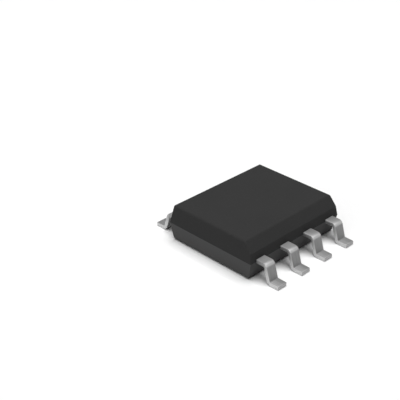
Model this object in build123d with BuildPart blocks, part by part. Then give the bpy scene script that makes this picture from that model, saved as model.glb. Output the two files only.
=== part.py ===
from build123d import *
import os

os.makedirs("parts", exist_ok=True)

# A single N-channel power MOSFET in an eight-lead small-outline package, in millimetres.
# X runs across the package from lead row to lead row, Y along the rows, Z up from the board.
# The origin is on the board, under the middle of the package.
# Leads 1 to 4 stand on the -X side, lead 1 at +Y: three source leads, then the gate lead.
# Leads 5 to 8 on the +X side are the drain, and carry the paddle that the die sits on.

# Moulded body
body_length = 4.86      # along the rows, at the parting line
body_width = 4.00       # across the package, at the parting line
body_top = 1.47         # seated height of the package
standoff = 0.05         # air under the body
parting_z = 0.71        # the mould halves meet here, at the middle of the leadframe metal
end_draft = 6.5         # degrees, on the two ends
side_draft = 11.5       # degrees, on the two lead sides
bevel_drop = 0.41       # the bevel that marks leads 1 to 4, measured down the side
bevel_inset = 0.22      # and measured in across the top
top_edge_r = 0.10       # rounding of the edges round the top and the bevel
cavity_edge_r = 0.03    # the mould's other edges are sharper

# Leads
leads_per_side = 4
pitch = 1.27
lead_span = 6.04        # from toe to toe
lead_width = 0.45
frame_t = 0.15          # leadframe metal
shoulder_reach = 0.38   # from the body to the corner of the upper bend
foot_length = 0.44      # from the corner of the lower bend to the toe
bend_inside_r = 0.035

# Leadframe inside the body
bar_cover = 0.26        # moulding outside the bonding bars
bar_width = 0.42
slot_length = 0.22      # locking slots at the lead roots, filled by the moulding
slot_width = 0.12
down_set = 0.20         # the paddle lies this far under the bars
ramp_run = 0.20         # from the lower bend of a strap to its upper bend
ramp_flat = 0.07        # from the paddle's or bar's edge to the corner of the bend beside it
strap_width = 0.60      # the three straps between the drain bar and the paddle
paddle_gap = 0.28       # between the source bar and the paddle
paddle_length = 3.90
paddle_corner = 0.15
gate_post_length = 0.95

# Die
die_width = 1.70
die_length = 2.80
die_t = 0.20
bond_line = 0.03        # solder under the die, with a fillet as wide as it is thick

# Bond wires
source_wires = 14
wire_d = 0.05
wire_flats = 6          # so fine a wire is drawn with six flats, one of them underneath
ball_d = 0.11
ball_h = 0.03
ball_flats = 8
loop_rise = 0.33        # top of the loops over the die
loop_r = 0.10
near_bond_inset = 0.40  # from the die's edge to the two staggered columns of balls
far_bond_inset = 0.85
row_margin = 0.15       # from the end of the die or bar to the first bond
gate_pad_length = 0.62  # stretch of the die kept for the gate's pad
gate_bond_inset = 0.20
stitch_inset = 0.24     # from the inner edge of the bar to the tip of a stitch

bend_r = bend_inside_r + frame_t / 2
outer_row = (leads_per_side - 1) / 2 * pitch
rows = [outer_row - i * pitch for i in range(leads_per_side)]

bar_outer = body_width / 2 - bar_cover
bar_inner = bar_outer - bar_width
paddle_right = bar_inner - ramp_run - 2 * ramp_flat
paddle_left = -bar_inner + paddle_gap
paddle_x = (paddle_left + paddle_right) / 2
paddle_z = parting_z - down_set
paddle_top = paddle_z + frame_t / 2
bar_top = parting_z + frame_t / 2
die_top = paddle_top + bond_line + die_t
row_end = outer_row + lead_width / 2

# The moulded body, before its inside is cut. Each half is drafted away from the parting line.
mould_line = Plane.XY.offset(parting_z)

with BuildPart() as upper_half:
    with BuildSketch(mould_line):
        Rectangle(body_width, body_length)
    extrude(amount=body_top - parting_z)
    draft(faces().filter_by(Axis.X), mould_line, side_draft)
    draft(faces().filter_by(Axis.Y), mould_line, end_draft)
    top_face = faces().sort_by(Axis.Z)[-1]
    marked_edge = top_face.edges().sort_by(Axis.X)[0]
    chamfer(marked_edge, bevel_inset, bevel_drop, reference=top_face)
    level_edges = edges().filter_by(Axis.X) + edges().filter_by(Axis.Y)
    fillet(level_edges - edges().group_by(Axis.Z)[0], top_edge_r)
    upright_edges = edges().filter_by(GeomType.LINE) - edges().filter_by(Axis.X) - edges().filter_by(Axis.Y)
    fillet(upright_edges, cavity_edge_r)

with BuildPart() as lower_half:
    with BuildSketch(mould_line):
        Rectangle(body_width, body_length)
    extrude(amount=standoff - parting_z)
    draft(faces().filter_by(Axis.X), mould_line, -side_draft)
    draft(faces().filter_by(Axis.Y), mould_line, -end_draft)
    fillet(edges() - edges().group_by(Axis.Z)[-1], cavity_edge_r)

# One gull-wing lead of the +X side at Y = 0, from the middle of its bar to its toe.
with BuildPart() as gull_wing:
    with BuildSketch(Plane.XZ):
        with BuildLine():
            FilletPolyline(
                (bar_outer - bar_width / 2, parting_z),
                (body_width / 2 + shoulder_reach, parting_z),
                (lead_span / 2 - foot_length, frame_t / 2),
                (lead_span / 2, frame_t / 2),
                radius=bend_r,
            )
        trace(line_width=frame_t)
    extrude(amount=lead_width / 2, both=True)

# The drain: four leads, their bar, three straps down to the paddle, all stamped and bent from one sheet.
with BuildPart() as drain_leadframe:
    with BuildSketch(Plane.XY.offset(paddle_z - frame_t / 2)):
        with Locations((paddle_x, 0)):
            Rectangle(paddle_right - paddle_left, paddle_length)
        chamfer(vertices(), paddle_corner)
    extrude(amount=frame_t)
    with BuildSketch(Plane.XY.offset(bar_top - frame_t)):
        with Locations((bar_outer, 0)):
            Rectangle(bar_width, 2 * row_end, align=(Align.MAX, Align.CENTER))
    extrude(amount=frame_t)
    for y in [(a + b) / 2 for a, b in zip(rows, rows[1:])]:
        with BuildSketch(Plane.XZ.offset(-y)):
            with BuildLine():
                FilletPolyline(
                    (paddle_right, paddle_z),
                    (paddle_right + ramp_flat, paddle_z),
                    (bar_inner - ramp_flat, parting_z),
                    (bar_inner, parting_z),
                    radius=bend_r,
                )
            trace(line_width=frame_t)
        extrude(amount=strap_width / 2, both=True)
    with Locations([(0, y, 0) for y in rows]):
        add(gull_wing.part)

# The source: leads 1 to 3 on one bonding bar, with a locking slot at each lead's root.
source_rows = rows[:-1]
source_bar_start = row_end
source_bar_end = source_rows[-1] - lead_width / 2

with BuildPart() as source_leadframe:
    with BuildSketch(Plane.XY.offset(bar_top - frame_t)):
        with Locations((-bar_outer, source_bar_start)):
            Rectangle(bar_width, source_bar_start - source_bar_end, align=(Align.MIN, Align.MAX))
    extrude(amount=frame_t)
    with Locations([Location((0, y, 0), (0, 0, 180)) for y in source_rows]):
        add(gull_wing.part)
    with BuildSketch(Plane.XY.offset(bar_top - frame_t)):
        with Locations([(-bar_outer, y) for y in source_rows]):
            Rectangle(slot_width, slot_length)
    extrude(amount=frame_t, mode=Mode.SUBTRACT)

# The gate: lead 4, with a post that its bond wire ends on.
gate_row = rows[-1]

with BuildPart() as gate_lead:
    with BuildSketch(Plane.XY.offset(bar_top - frame_t)):
        with Locations((-bar_outer, gate_row - lead_width / 2)):
            Rectangle(bar_width, gate_post_length, align=(Align.MIN, Align.MIN))
    extrude(amount=frame_t)
    with Locations(Location((0, gate_row, 0), (0, 0, 180))):
        add(gull_wing.part)
    with BuildSketch(Plane.XY.offset(bar_top - frame_t)):
        with Locations((-bar_outer, gate_row)):
            Rectangle(slot_width, slot_length)
    extrude(amount=frame_t, mode=Mode.SUBTRACT)

# The solder spreads past the die by its own thickness, and climbs in to the die's edge.
with BuildPart() as die_attach_solder:
    with BuildSketch(Plane.XY.offset(paddle_top)):
        with Locations((paddle_x, 0)):
            Rectangle(die_width + 2 * bond_line, die_length + 2 * bond_line)
    extrude(amount=bond_line, taper=45)

with BuildPart() as silicon_die:
    with BuildSketch(Plane.XY.offset(paddle_top + bond_line)):
        with Locations((paddle_x, 0)):
            Rectangle(die_width, die_length)
    extrude(amount=die_t)


def bond_wire(ball, stitch):
    """A ball pressed on the die, a loop up and over, and a stitch cut flat on the leadframe."""
    run = stitch - ball
    loop_plane = Plane(origin=ball, x_dir=run, z_dir=run.cross(Vector(0, 0, 1)))
    with BuildPart() as wire:
        with BuildLine(loop_plane):
            FilletPolyline(
                (0, die_top + ball_h),
                (0, die_top + loop_rise),
                (run.length, bar_top - wire_d / 2),
                radius=loop_r,
            )
        with BuildSketch(Plane(origin=ball + Vector(0, 0, die_top + ball_h), x_dir=run, z_dir=(0, 0, 1))):
            RegularPolygon(wire_d / 2, side_count=wire_flats, rotation=180 / wire_flats)
        sweep()
        with Locations(stitch + Vector(0, 0, bar_top)):
            Box(
                2 * bar_width,
                2 * bar_width,
                wire_d,
                align=(Align.CENTER, Align.CENTER, Align.MAX),
                mode=Mode.SUBTRACT,
            )
        with BuildSketch(Plane(origin=ball + Vector(0, 0, die_top), x_dir=run, z_dir=(0, 0, 1))):
            RegularPolygon(ball_d / 2, side_count=ball_flats)
        extrude(amount=ball_h)
    return wire.part


# The source wires fan from the die to one row of stitches on the bar. Every second one is bonded
# nearer the die's edge, on its own line of the fan, so that the balls stand in two staggered columns.
die_left = paddle_x - die_width / 2
die_end = die_length / 2
stitch_x = -bar_inner - stitch_inset
ball_step = (die_length - gate_pad_length - row_margin) / (source_wires - 1)
stitch_step = (source_bar_start - source_bar_end - 2 * row_margin) / (source_wires - 1)

wires = {}
for i in range(source_wires):
    stitch = Vector(stitch_x, source_bar_start - row_margin - i * stitch_step)
    ball = Vector(die_left + far_bond_inset, die_end - row_margin - i * ball_step)
    if i % 2 == 1:
        share = (far_bond_inset - near_bond_inset) / (ball.X - stitch.X)
        ball += (stitch - ball) * share
    wires[f"source_wire_{i + 1}"] = bond_wire(ball, stitch)

gate_ball = Vector(die_left + gate_bond_inset, -die_end + gate_bond_inset)
gate_stitch = Vector(stitch_x, gate_row - lead_width / 2 + gate_post_length / 2)
wires["gate_wire"] = bond_wire(gate_ball, gate_stitch)

# The body closes on everything inside it.
with BuildPart() as mould_body:
    add(upper_half.part)
    add(lower_half.part)
    for inside in (drain_leadframe, source_leadframe, gate_lead, die_attach_solder, silicon_die):
        add(inside.part, mode=Mode.SUBTRACT)
    for wire in wires.values():
        add(wire, mode=Mode.SUBTRACT)

mould_body.part.label = "mould_body"
export_step(mould_body.part, "parts/mould_body.step")
drain_leadframe.part.label = "drain_leadframe"
export_step(drain_leadframe.part, "parts/drain_leadframe.step")
source_leadframe.part.label = "source_leadframe"
export_step(source_leadframe.part, "parts/source_leadframe.step")
gate_lead.part.label = "gate_lead"
export_step(gate_lead.part, "parts/gate_lead.step")
die_attach_solder.part.label = "die_attach_solder"
export_step(die_attach_solder.part, "parts/die_attach_solder.step")
silicon_die.part.label = "silicon_die"
export_step(silicon_die.part, "parts/silicon_die.step")
for name, wire in wires.items():
    wire.label = name
    export_step(wire, f"parts/{name}.step")
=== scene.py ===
# %% [markdown]
# # A power MOSFET in an eight-lead small-outline package
# The real one is 6 mm from toe to toe: a black moulded body, and eight tinned leads that a press
# has bent into gull wings. Its shapes come finished from the CAD model, in metres and in place.
# So this lesson is about surfaces and light: what each part is made of, how it was made, and how
# that shows when the camera stands only a few centimetres away.

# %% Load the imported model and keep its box
import math

import bpy
from mathutils import Matrix, Vector

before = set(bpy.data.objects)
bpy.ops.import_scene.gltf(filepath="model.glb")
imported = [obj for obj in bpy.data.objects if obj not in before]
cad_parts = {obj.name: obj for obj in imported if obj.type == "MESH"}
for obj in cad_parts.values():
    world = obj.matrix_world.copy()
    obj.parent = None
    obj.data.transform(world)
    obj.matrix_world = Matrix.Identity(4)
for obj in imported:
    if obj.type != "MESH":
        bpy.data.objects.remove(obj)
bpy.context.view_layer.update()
MM = 0.001


# %% [markdown]
# Every finish below starts from colours given as a screen shows them. Those are sRGB values, and the shader
# wants linear light, so one function turns the one into the other. A second function adds a node
# with its settings and its links in one line, which keeps each material readable from top to
# bottom. A third starts a material with its shader and output, ready to be given its details. The
# last turns a feature's size in millimetres into the scale that a noise of such features needs.

# %% Helpers for colours and nodes
def from_hex(code):
    """An sRGB hex colour as linear RGBA."""
    shares = [int(code[i:i + 2], 16) / 255 for i in (1, 3, 5)]
    return [s / 12.92 if s <= 0.04045 else ((s + 0.055) / 1.055) ** 2.4 for s in shares] + [1.0]


def add_node(tree, kind, sockets=None, **settings):
    """One node: its settings by keyword, its sockets each as a value or as the socket that feeds it."""
    node = tree.nodes.new(kind)
    for name, value in settings.items():
        setattr(node, name, value)
    for name, value in (sockets or {}).items():
        if isinstance(value, bpy.types.NodeSocket):
            tree.links.new(value, node.inputs[name])
        else:
            node.inputs[name].default_value = value
    return node


def start_finish(name):
    """A material with its shader wired up, and the place on the piece in metres, for its patterns."""
    finish = bpy.data.materials.new(name)
    finish.use_nodes = True
    tree = finish.node_tree
    tree.nodes.clear()
    shader = add_node(tree, "ShaderNodeBsdfPrincipled")
    add_node(tree, "ShaderNodeOutputMaterial", {"Surface": shader.outputs[0]})
    place = add_node(tree, "ShaderNodeTexCoord").outputs["Object"]
    return finish, tree, shader, place


def per_metre(size_mm):
    """The scale a noise needs for features of this size."""
    return 1 / (size_mm * MM)


print("mid grey #808080 is", round(from_hex("#808080")[0], 3), "in linear light")


# %% [markdown]
# ** The body is epoxy moulding compound.** It is a thermoset: fine silica filler in epoxy, blackened
# with a little carbon, pressed hot into a steel mould. The mould's walls are spark-eroded, and the
# compound copies their fine, even pits. They swallow nearly all the gloss, so to the eye it is a dark
# neutral grey, as dry as slate, with a faint cloudiness where the melt flowed, and filler grains
# that show as weak pale specks. The lower half, which faces the table, is painted paler than the
# upper one as painted light from below, and the two halves meet in a clean line at the height of the leads.

# %% Patterns of the moulding compound
compound, tree, shader, place = start_finish("spark_eroded_moulding_compound")

PIT = 0.05          # mm, the pits are 20 to 40 micrometres wide, drawn a little coarser so that they show
SPECK = 0.09        # mm, the largest filler grains are 75 micrometres
FLOW = 1.6          # mm, drifts of the melt from the gate
PARTING = 0.71      # mm above the table, where the mould halves meet
SPECK_RIM, SPECK_CORE = 0.22, 0.10    # of a speck's cell: where it starts to show, and where in full
SPECK_SHARE = 0.25  # how much of a speck's own grey comes through the skin

pits = add_node(tree, "ShaderNodeTexNoise", {"Vector": place, "Scale": per_metre(PIT), "Detail": 2.0})
specks = add_node(tree, "ShaderNodeTexVoronoi", {"Vector": place, "Scale": per_metre(SPECK)})
drifts = add_node(tree, "ShaderNodeTexNoise", {"Vector": place, "Scale": per_metre(FLOW), "Detail": 3.0})
print("compound: pits of", PIT, "mm, specks of", SPECK, "mm, flow of", FLOW, "mm")


# %% [markdown]
# Those patterns now drive the shader. The drifts shift each half's grey by a little, the specks
# lighten it here and there, and the pits move both the roughness and the bump. Epoxy has an IOR of
# 1.5, but the pits shade most of what it would reflect, so its specular level is low.

# %% Colour and sheen of the moulding compound
upper_cloud = add_node(
    tree, "ShaderNodeMix",
    {"Factor": drifts.outputs["Fac"], "A": from_hex("#323232"), "B": from_hex("#363636")}, data_type="RGBA",
)
# painted light: the lower half's greys are paler than the upper half's, standing for light from below
lower_cloud_painted_paler = add_node(
    tree, "ShaderNodeMix",
    {"Factor": drifts.outputs["Fac"], "A": from_hex("#4C4C4C"), "B": from_hex("#515151")}, data_type="RGBA",
)
height = add_node(tree, "ShaderNodeSeparateXYZ", {"Vector": place})
is_lower = add_node(
    tree, "ShaderNodeMath", {0: height.outputs["Z"], 1: PARTING * MM}, operation="LESS_THAN"
)
cloud = add_node(
    tree, "ShaderNodeMix",
    {"Factor": is_lower.outputs[0], "A": upper_cloud.outputs["Result"], "B": lower_cloud_painted_paler.outputs["Result"]},
    data_type="RGBA",
)
is_speck = add_node(
    tree, "ShaderNodeMapRange",
    {"Value": specks.outputs["Distance"], "From Min": SPECK_RIM, "From Max": SPECK_CORE, "To Max": SPECK_SHARE},
)
speckled = add_node(
    tree, "ShaderNodeMix",
    {"Factor": is_speck.outputs[0], "A": cloud.outputs["Result"], "B": from_hex("#484848")},
    data_type="RGBA",
)
sheen_of_pits = add_node(
    tree, "ShaderNodeMapRange", {"Value": pits.outputs["Fac"], "To Min": 0.76, "To Max": 0.90}
)
pitted = add_node(
    tree, "ShaderNodeBump", {"Height": pits.outputs["Fac"], "Strength": 0.25, "Distance": 0.004 * MM}
)
tree.links.new(speckled.outputs["Result"], shader.inputs["Base Color"])
tree.links.new(sheen_of_pits.outputs[0], shader.inputs["Roughness"])
tree.links.new(pitted.outputs[0], shader.inputs["Normal"])
shader.inputs["IOR"].default_value = 1.5
shader.inputs["Specular IOR Level"].default_value = 0.12
print("compound: mould halves meet", PARTING, "mm above the table")


# %% [markdown]
# **The leads are matte tin over copper.** The leadframe is stamped from copper strip, and only
# after moulding is what sticks out plated with ten micrometres of tin. Matte tin grows as small
# blunt grains, so it is a metal whose reflections are all blur: it takes the light of its
# surroundings, and shows their shapes hardly at all. Inside the body the strip stays bare copper.
# The strip's rolling lines run along it and show through the plating.

# %% Tin-plated copper
plating, tree, shader, place = start_finish("matte_tin_on_copper")

GRAIN = 0.035       # mm, tin grains are 3 to 8 micrometres, drawn coarser to show at all
ROLLING = 0.04      # mm between rolling lines, which run along X as the strip does
LINE_ALONG, LINE_DOWN = 1.2, 0.6    # mm, how far a rolling line keeps its shade along X, and down the leg
PLATED_FROM = 1.975 # mm from the middle: the tin starts where the moulding ends

grains = add_node(
    tree, "ShaderNodeTexNoise", {"Vector": place, "Scale": per_metre(GRAIN), "Detail": 3.0}
)
stretched = add_node(
    tree, "ShaderNodeMapping",
    {"Vector": place, "Scale": (per_metre(LINE_ALONG), per_metre(ROLLING), per_metre(LINE_DOWN))},
)
rolled = add_node(
    tree, "ShaderNodeTexNoise", {"Vector": stretched.outputs[0], "Scale": 1.0, "Detail": 2.0}
)
across = add_node(tree, "ShaderNodeSeparateXYZ", {"Vector": place})
off_middle = add_node(tree, "ShaderNodeMath", {0: across.outputs["X"]}, operation="ABSOLUTE")
plated = add_node(
    tree, "ShaderNodeMath", {0: off_middle.outputs[0], 1: PLATED_FROM * MM}, operation="GREATER_THAN"
)
tin = add_node(
    tree, "ShaderNodeMix",
    {"Factor": grains.outputs["Fac"], "A": from_hex("#9C9C9C"), "B": from_hex("#AEAEAE")}, data_type="RGBA",
)
blur = add_node(
    tree, "ShaderNodeMapRange", {"Value": rolled.outputs["Fac"], "To Min": 0.57, "To Max": 0.73}
)
texture = add_node(
    tree, "ShaderNodeMath", {0: grains.outputs["Fac"], 1: rolled.outputs["Fac"]}, operation="ADD"
)
grained = add_node(
    tree, "ShaderNodeBump", {"Height": texture.outputs[0], "Strength": 0.2, "Distance": 0.003 * MM}
)
tree.links.new(blur.outputs[0], shader.inputs["Roughness"])
tree.links.new(grained.outputs[0], shader.inputs["Normal"])
shader.inputs["Metallic"].default_value = 1.0
print("plating: grains of", GRAIN, "mm, rolling lines", ROLLING, "mm apart, tin beyond", PLATED_FROM, "mm")


# %% [markdown]
# ** The tin is painted lighter and darker in zones, for light and shade.** Beside the body the tin is
# painted darker, as painted shade from the body. The upper bend is painted pale, as a painted
# highlight. The leg and the foot are painted darker, as painted shade, with streaks along the lead.
# The narrow sides are painted paler, and more so towards the foot, as a painted reflection of the
# white table. Last, the end of the toe is painted paler too, as a painted reflection of the table.
# All of them are laid out by the place along the lead and the height above the table, and the sides
# by which way the surface faces. Each zone fades in between two such places, so the values
# below come in pairs.

# %% Where the tin is painted with shade, highlights and reflections
BODY_WALL, PAINTED_SHADE_ENDS = 2.00, 2.36      # mm from the middle
BEND_FADES_IN, BEND_STARTS = 2.34, 2.42
TOE_LIGHT_FADES_IN, TOE_CUT = 2.965, 3.005
LEG_TOP, BEND_LOW = 0.65, 0.71          # mm above the table
LEG_SHADE_FADES_IN, LEG_SHADE_STARTS = 0.70, 0.61
SIDE_TOP, SIDE_LOW = 0.62, 0.25
SIDE_TURNS, IS_SIDE = 0.40, 0.85        # share of the surface's direction that points along Y
# shares of the painted shade by the body, the painted side reflection at a side's top, and the painted toe
# reflection
PAINTED_SHADE_SHARE, TOP_OF_SIDE, TOE_LIGHT_SHARE = 0.2, 0.55, 0.35   # how far each of these zones takes the tin to its own grey

past_bend = add_node(tree, "ShaderNodeMapRange", {
    "Value": off_middle.outputs[0], "From Min": BEND_FADES_IN * MM, "From Max": BEND_STARTS * MM,
}, interpolation_type="SMOOTHSTEP")
above_leg = add_node(tree, "ShaderNodeMapRange", {
    "Value": across.outputs["Z"], "From Min": LEG_TOP * MM, "From Max": BEND_LOW * MM,
}, interpolation_type="SMOOTHSTEP")
# painted highlight: the upper bend is made pale
painted_bend_highlight = add_node(
    tree, "ShaderNodeMath", {0: past_bend.outputs[0], 1: above_leg.outputs[0]}, operation="MULTIPLY"
)
# painted shade: the tin below the bend is darker, and streaked by the rolling lines
leg_streaks_and_shade = add_node(tree, "ShaderNodeMapRange", {
    "Value": across.outputs["Z"], "From Min": LEG_SHADE_FADES_IN * MM, "From Max": LEG_SHADE_STARTS * MM,
}, interpolation_type="SMOOTHSTEP")

surface = add_node(tree, "ShaderNodeNewGeometry")
facing = add_node(tree, "ShaderNodeSeparateXYZ", {"Vector": surface.outputs["Normal"]})
sideways = add_node(tree, "ShaderNodeMath", {0: facing.outputs["Y"]}, operation="ABSOLUTE")
# painted reflection of the table on the narrow sides, picked out by which way the surface faces
on_side = add_node(tree, "ShaderNodeMapRange", {
    "Value": sideways.outputs[0], "From Min": SIDE_TURNS, "From Max": IS_SIDE,
}, interpolation_type="SMOOTHSTEP")
# the painted side reflection grows paler from the shoulder down to the foot
side_light_by_height = add_node(tree, "ShaderNodeMapRange", {
    "Value": across.outputs["Z"], "From Min": SIDE_TOP * MM, "From Max": SIDE_LOW * MM,
    "To Min": TOP_OF_SIDE, "To Max": 1.0,
})
side_of_leg = add_node(
    tree, "ShaderNodeMath", {0: on_side.outputs[0], 1: past_bend.outputs[0]}, operation="MULTIPLY"
)
painted_side_light = add_node(
    tree, "ShaderNodeMath", {0: side_of_leg.outputs[0], 1: side_light_by_height.outputs[0]}, operation="MULTIPLY"
)
# painted reflection of the table on the toe's end
painted_toe_light = add_node(tree, "ShaderNodeMapRange", {
    "Value": off_middle.outputs[0], "From Min": TOE_LIGHT_FADES_IN * MM, "From Max": TOE_CUT * MM, "To Max": TOE_LIGHT_SHARE,
}, interpolation_type="SMOOTHSTEP")
side_or_toe_light = add_node(
    tree, "ShaderNodeMath", {0: painted_side_light.outputs[0], 1: painted_toe_light.outputs[0]}, operation="MAXIMUM"
)
# painted light: the bend highlight, the side reflections and the toe reflection together
pale = add_node(
    tree, "ShaderNodeMath", {0: painted_bend_highlight.outputs[0], 1: side_or_toe_light.outputs[0]}, operation="MAXIMUM"
)
# painted shade: the tin next to the body is darkened towards #303030
painted_shade_by_body = add_node(tree, "ShaderNodeMapRange", {
    "Value": off_middle.outputs[0], "From Min": PAINTED_SHADE_ENDS * MM, "From Max": BODY_WALL * MM, "To Max": PAINTED_SHADE_SHARE,
})
# The first zone in this print is the painted shade beside the body.
print("tin: stained within", PAINTED_SHADE_ENDS, "mm, ironed above", LEG_TOP, "mm, wiped below", LEG_SHADE_FADES_IN, "mm")


# %% [markdown]
# Each zone is now a share from 0 to 1, and the colours are mixed by those shares, one over the
# other: the leg's painted shade over plain tin, the pale painted light over both, the painted shade
# beside the body over all three, and bare copper wherever the strip was never plated. The leg's
# darker tin takes its two greys from the rolling lines, which gives the streaks.

# %% Mix the tins
# the leg's tin: painted shade in darker greys, with streaks from the rolling lines
streaked_shaded_tin = add_node(
    tree, "ShaderNodeMix",
    {"Factor": rolled.outputs["Fac"], "A": from_hex("#848484"), "B": from_hex("#ACACAC")}, data_type="RGBA",
)
# pale tin for the painted highlight and the painted reflections
pale_tin = add_node(
    tree, "ShaderNodeMix",
    {"Factor": grains.outputs["Fac"], "A": from_hex("#CACACA"), "B": from_hex("#D6D6D6")}, data_type="RGBA",
)
tin_and_leg_shade = add_node(
    tree, "ShaderNodeMix",
    {"Factor": leg_streaks_and_shade.outputs[0], "A": tin.outputs["Result"], "B": streaked_shaded_tin.outputs["Result"]},
    data_type="RGBA",
)
tin_and_pale = add_node(
    tree, "ShaderNodeMix",
    {"Factor": pale.outputs[0], "A": tin_and_leg_shade.outputs["Result"], "B": pale_tin.outputs["Result"]},
    data_type="RGBA",
)
# painted shade beside the body, in dark grey
tin_with_body_shade = add_node(
    tree, "ShaderNodeMix",
    {"Factor": painted_shade_by_body.outputs[0], "A": tin_and_pale.outputs["Result"], "B": from_hex("#303030")},
    data_type="RGBA",
)
metal = add_node(
    tree, "ShaderNodeMix",
    {"Factor": plated.outputs[0], "A": from_hex("#C77B58"), "B": tin_with_body_shade.outputs["Result"]},
    data_type="RGBA",
)
tree.links.new(metal.outputs["Result"], shader.inputs["Base Color"])
print("plating: built of", len(tree.nodes), "nodes")


# %% [markdown]
# **The die is sawn silicon with an aluminium face.** Nothing inside the body shows from outside,
# but the pieces are there, and a reader who hides the body should find them finished. The die's
# top is sputtered aluminium, soft and slightly frosty. Its sides are where the saw went through
# the wafer: dark, shiny silicon with fine level scratches from the blade.

# %% Silicon die
die_finish, tree, shader, place = start_finish("sawn_silicon_with_aluminium_face")

SAW_LINE = 0.02     # mm between the blade's scratches
SAW_LENGTH = 2      # mm, how far a scratch keeps its shade along a side
FROST = 0.03        # mm, grains of the sputtered metal, drawn coarser to show

surface = add_node(tree, "ShaderNodeNewGeometry")
facing = add_node(tree, "ShaderNodeSeparateXYZ", {"Vector": surface.outputs["Normal"]})
is_face = add_node(tree, "ShaderNodeMath", {0: facing.outputs["Z"], 1: 0.5}, operation="GREATER_THAN")
level = add_node(
    tree, "ShaderNodeMapping",
    {"Vector": place, "Scale": (per_metre(SAW_LENGTH), per_metre(SAW_LENGTH), per_metre(SAW_LINE))},
)
scratches = add_node(
    tree, "ShaderNodeTexNoise", {"Vector": level.outputs[0], "Scale": 1.0, "Detail": 2.0}
)
frost = add_node(tree, "ShaderNodeTexNoise", {"Vector": place, "Scale": per_metre(FROST), "Detail": 2.0})
silicon = add_node(
    tree, "ShaderNodeMix",
    {"Factor": scratches.outputs["Fac"], "A": from_hex("#4C4F55"), "B": from_hex("#666A72")},
    data_type="RGBA",
)
aluminium = add_node(
    tree, "ShaderNodeMix",
    {"Factor": frost.outputs["Fac"], "A": from_hex("#C4C6C9"), "B": from_hex("#D8DADC")}, data_type="RGBA",
)
die_colour = add_node(
    tree, "ShaderNodeMix",
    {"Factor": is_face.outputs[0], "A": silicon.outputs["Result"], "B": aluminium.outputs["Result"]},
    data_type="RGBA",
)
die_blur = add_node(
    tree, "ShaderNodeMapRange", {"Value": frost.outputs["Fac"], "To Min": 0.25, "To Max": 0.4}
)
tree.links.new(die_colour.outputs["Result"], shader.inputs["Base Color"])
tree.links.new(die_blur.outputs[0], shader.inputs["Roughness"])
shader.inputs["Metallic"].default_value = 1.0
print("die: saw lines", SAW_LINE, "mm apart, frost of", FROST, "mm")


# %% [markdown]
# **Solder holds the die down.** It froze as a thin layer of lead-tin with a dull, slightly
# crystalline skin. A noise at the size of those crystals moves both its colour and its gloss.

# %% Die-attach solder
solder_finish, tree, shader, place = start_finish("dull_die_attach_solder")

CRYSTAL = 0.06      # mm

crystals = add_node(tree, "ShaderNodeTexVoronoi", {"Vector": place, "Scale": per_metre(CRYSTAL)})
solder_colour = add_node(
    tree, "ShaderNodeMix",
    {"Factor": crystals.outputs["Distance"], "A": from_hex("#A2A2A6"), "B": from_hex("#84848A")},
    data_type="RGBA",
)
solder_blur = add_node(
    tree, "ShaderNodeMapRange", {"Value": crystals.outputs["Distance"], "To Min": 0.35, "To Max": 0.55}
)
tree.links.new(solder_colour.outputs["Result"], shader.inputs["Base Color"])
tree.links.new(solder_blur.outputs[0], shader.inputs["Roughness"])
shader.inputs["Metallic"].default_value = 1.0
print("solder: crystals of", CRYSTAL, "mm")


# %% [markdown]
# **The bond wires are pure gold**, drawn through diamond dies to a twentieth of a millimetre. Drawing
# leaves the wire bright, with the faintest lengthwise streaks, which here vary its roughness.

# %% Gold bond wire
gold, tree, shader, place = start_finish("drawn_gold_wire")

STREAK = 0.02       # mm

streaks = add_node(
    tree, "ShaderNodeTexNoise", {"Vector": place, "Scale": per_metre(STREAK), "Detail": 1.0}
)
gold_colour = add_node(
    tree, "ShaderNodeMix",
    {"Factor": streaks.outputs["Fac"], "A": from_hex("#EDC066"), "B": from_hex("#F5CE7E")},
    data_type="RGBA",
)
gold_blur = add_node(
    tree, "ShaderNodeMapRange", {"Value": streaks.outputs["Fac"], "To Min": 0.15, "To Max": 0.3}
)
tree.links.new(gold_colour.outputs["Result"], shader.inputs["Base Color"])
tree.links.new(gold_blur.outputs[0], shader.inputs["Roughness"])
shader.inputs["Metallic"].default_value = 1.0
print("gold: streaks of", STREAK, "mm")


# %% [markdown]
# Each node of the CAD model arrives with one plain material in its slot. The finishes go into those
# same slots, so the pieces themselves stay untouched.

# %% Put each finish on its pieces
finish_of = {
    "moulding_compound": compound,
    "tinned_copper": plating,
    "die": die_finish,
    "die_solder": solder_finish,
    "bond_gold": gold,
}
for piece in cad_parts.values():
    for slot in piece.material_slots:
        slot.material = finish_of[slot.material.name.split(".")[0]]
print("finished", len(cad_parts), "pieces")


# %% [markdown]
# A stamped and plated edge is never sharp: the punch rolls one side over, and the tin builds up
# round the other. The CAD leads have square edges, so a bevel of a few hundredths of a millimetre
# goes on as a modifier, which leaves the CAD mesh as it was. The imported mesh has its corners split
# for shading, and a bevel needs them joined, so a small node group joins them first.

# %% Join the split corners
SAME_PLACE = 0.0005 # mm, corners closer than this are one

joined = bpy.data.node_groups.new("join_split_corners", "GeometryNodeTree")
joined.interface.new_socket(name="Geometry", in_out="INPUT", socket_type="NodeSocketGeometry")
joined.interface.new_socket(name="Geometry", in_out="OUTPUT", socket_type="NodeSocketGeometry")
split_mesh = add_node(joined, "NodeGroupInput")
plain_mesh = add_node(
    joined, "GeometryNodeRemoveAttribute", {"Geometry": split_mesh.outputs[0], "Name": "custom_normal"}
)
whole_mesh = add_node(
    joined, "GeometryNodeMergeByDistance", {"Geometry": plain_mesh.outputs[0], "Distance": SAME_PLACE * MM}
)
smooth_mesh = add_node(joined, "GeometryNodeSetShadeSmooth", {"Geometry": whole_mesh.outputs[0]})
add_node(joined, "NodeGroupOutput", {0: smooth_mesh.outputs[0]})
print("joins corners closer than", SAME_PLACE, "mm")


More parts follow.
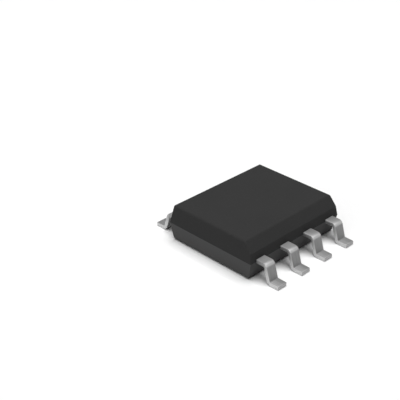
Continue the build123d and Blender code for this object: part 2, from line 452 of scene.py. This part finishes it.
# %% [markdown]
# Then each lead gets four modifiers. The first joins its corners, and the second makes each flat
# one face again, so that the bevel finds only real edges. The third is the bevel. The weighted
# normals at the end keep the flats flat and let only the narrow bevels shade round.

# %% Round the stamped edges of the leads
EDGE_ROUND = 0.036  # mm, a quarter of the metal's thickness
FLAT = math.radians(1)      # faces that turn by less are one flat
SHARP = math.radians(40)    # edges that turn by more are rounded

for name in ("drain_leadframe", "source_leadframe", "gate_lead"):
    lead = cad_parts[name]
    join = lead.modifiers.new("join_corners", "NODES")
    join.node_group = joined
    outlines = lead.modifiers.new("whole_flats", "DECIMATE")
    outlines.decimate_type = "DISSOLVE"
    outlines.angle_limit = FLAT
    edge = lead.modifiers.new("stamped_edge", "BEVEL")
    edge.width = EDGE_ROUND * MM
    edge.segments = 3
    edge.limit_method = "ANGLE"
    edge.angle_limit = SHARP
    flats = lead.modifiers.new("flat_faces", "WEIGHTED_NORMAL")
    flats.weight = 100
    print(name, "edges rounded by", EDGE_ROUND, "mm")


# %% [markdown]
# The package stands on a plain white table. The table is a large sheet just under the feet, and it
# looks white because it is white and evenly lit. A little below the feet's own level, it can't
# fight with them for the same place.

# %% Table
TABLE = 1.5         # metres each way from the package
GAP = 0.002 * MM    # from the table up to the feet
FIBRE = 0.4         # mm, paper fibres in the card

table = bpy.data.objects.new("table", bpy.data.meshes.new("table"))
corners = [(-TABLE, -TABLE, -GAP), (TABLE, -TABLE, -GAP), (TABLE, TABLE, -GAP), (-TABLE, TABLE, -GAP)]
table.data.from_pydata(corners, [], [(0, 1, 2, 3)])
bpy.context.scene.collection.objects.link(table)

paper, tree, shader, place = start_finish("white_card")
fibres = add_node(
    tree, "ShaderNodeTexNoise", {"Vector": place, "Scale": per_metre(FIBRE), "Detail": 2.0}
)
card = add_node(
    tree, "ShaderNodeMix",
    {"Factor": fibres.outputs["Fac"], "A": from_hex("#F6F6F6"), "B": from_hex("#F9F9F9")}, data_type="RGBA",
)
tree.links.new(card.outputs["Result"], shader.inputs["Base Color"])
shader.inputs["Roughness"].default_value = 0.9
shader.inputs["Specular IOR Level"].default_value = 0.0
table.data.materials.append(paper)
print("table of", 2 * TABLE, "m")


# %% [markdown]
# Soft light makes small parts readable. One wide soft box hangs a metre straight above the package,
# and lights the table evenly. A weaker one on the left shows the end with lead 1. A lamp's power
# spreads over its distance squared, so each is given as the brightness that white card facing it
# would have if the lamp were small, where 1 is full white. A lamp as wide as these loses a sixth.

# %% Lamps
def soft_box(name, azimuth, elevation, size, brightness, distance=1.0):
    """A square lamp that faces the package. Azimuth 0 is at -Y, and it turns as the camera's does."""
    lamp = bpy.data.lights.new(name, "AREA")
    lamp.size = size
    lamp.energy = brightness * math.pi ** 2 * distance ** 2
    box = bpy.data.objects.new(name, lamp)
    a, e = math.radians(azimuth), math.radians(elevation)
    out = Vector((math.sin(a) * math.cos(e), -math.cos(a) * math.cos(e), math.sin(e)))
    box.location = out * distance
    box.rotation_euler = out.to_track_quat("Z", "Y").to_euler()
    bpy.context.scene.collection.objects.link(box)
    return box


soft_box("overhead", azimuth=0, elevation=90, size=0.8, brightness=1.18)
soft_box("left", azimuth=180, elevation=45, size=0.8, brightness=0.19)


# %% [markdown]
# Round the table runs a low white wall, and above it the room is dim. The camera, and anything
# shiny, sees wall and room, while matte surfaces get their light from the lamps and the table
# alone. The wall's height is an angle above the horizon, so it looks the same from every side.

# %% Wall and room
WALL_TOP, WALL_FADE = 6, 11    # degrees above the horizon: where the wall starts to fade, and is gone
DIM = 0.15          # how bright the room above the wall is, where the wall is 1

room = bpy.data.worlds.new("room")
room.use_nodes = True
tree = room.node_tree
outward = add_node(tree, "ShaderNodeTexCoord")
direction = add_node(tree, "ShaderNodeSeparateXYZ", {"Vector": outward.outputs["Generated"]})
wall = add_node(tree, "ShaderNodeMapRange", {
    "Value": direction.outputs["Z"], "From Min": math.sin(math.radians(WALL_TOP)),
    "From Max": math.sin(math.radians(WALL_FADE)), "To Min": 1.0, "To Max": DIM,
}, interpolation_type="SMOOTHSTEP")
ray = add_node(tree, "ShaderNodeLightPath")
seen = add_node(tree, "ShaderNodeMath", {
    0: ray.outputs["Is Camera Ray"], 1: ray.outputs["Is Glossy Ray"],
}, operation="MAXIMUM")
seen_or_through = add_node(tree, "ShaderNodeMath", {
    0: seen.outputs[0], 1: ray.outputs["Is Transmission Ray"],
}, operation="MAXIMUM")
shown = add_node(
    tree, "ShaderNodeMath", {0: wall.outputs[0], 1: seen_or_through.outputs[0]}, operation="MULTIPLY"
)
tree.links.new(shown.outputs[0], tree.nodes["Background"].inputs["Color"])
bpy.context.scene.world = room
bpy.context.scene.view_settings.view_transform = "Standard"
print("room above the wall:", DIM)


# %% [markdown]
# The camera stands 33 mm away and looks down by 29.5 degrees, at the corner between the marked lead
# row and the end with lead 1. It is turned about its own axis by half a degree, and it looks a
# little past the package, because the package isn't in the middle of the picture. So it is placed
# from its three directions, right, up and back, and not from a point that it looks at.

# %% Camera
AZIMUTH, ELEVATION, ROLL = math.radians(224.552), math.radians(29.534), math.radians(0.5314)
DISTANCE = 33.295 * MM
LENS = 81.06        # mm, on a sensor 36 mm wide
AIM = Vector((0, 0, 0.9)) * MM
AIM_RIGHT, AIM_UP = 2.018 * MM, -0.510 * MM     # where the aim lies in the picture, from its middle

back = Vector((
    math.sin(AZIMUTH) * math.cos(ELEVATION), -math.cos(AZIMUTH) * math.cos(ELEVATION), math.sin(ELEVATION),
))
level_right = Vector((math.cos(AZIMUTH), math.sin(AZIMUTH), 0))
level_up = back.cross(level_right)
right = level_right * math.cos(ROLL) + level_up * math.sin(ROLL)
up = level_up * math.cos(ROLL) - level_right * math.sin(ROLL)

lens = bpy.data.cameras.new("camera")
lens.lens = LENS
lens.sensor_width = 36
lens.clip_start, lens.clip_end = 1 * MM, 10
camera = bpy.data.objects.new("camera", lens)
camera.matrix_world = Matrix.Translation(AIM + back * DISTANCE - right * AIM_RIGHT - up * AIM_UP) @ Matrix(
    (right, up, back)
).transposed().to_4x4()
bpy.context.scene.collection.objects.link(camera)
bpy.context.scene.camera = camera
print("camera at, mm:", [round(x / MM, 2) for x in camera.location])
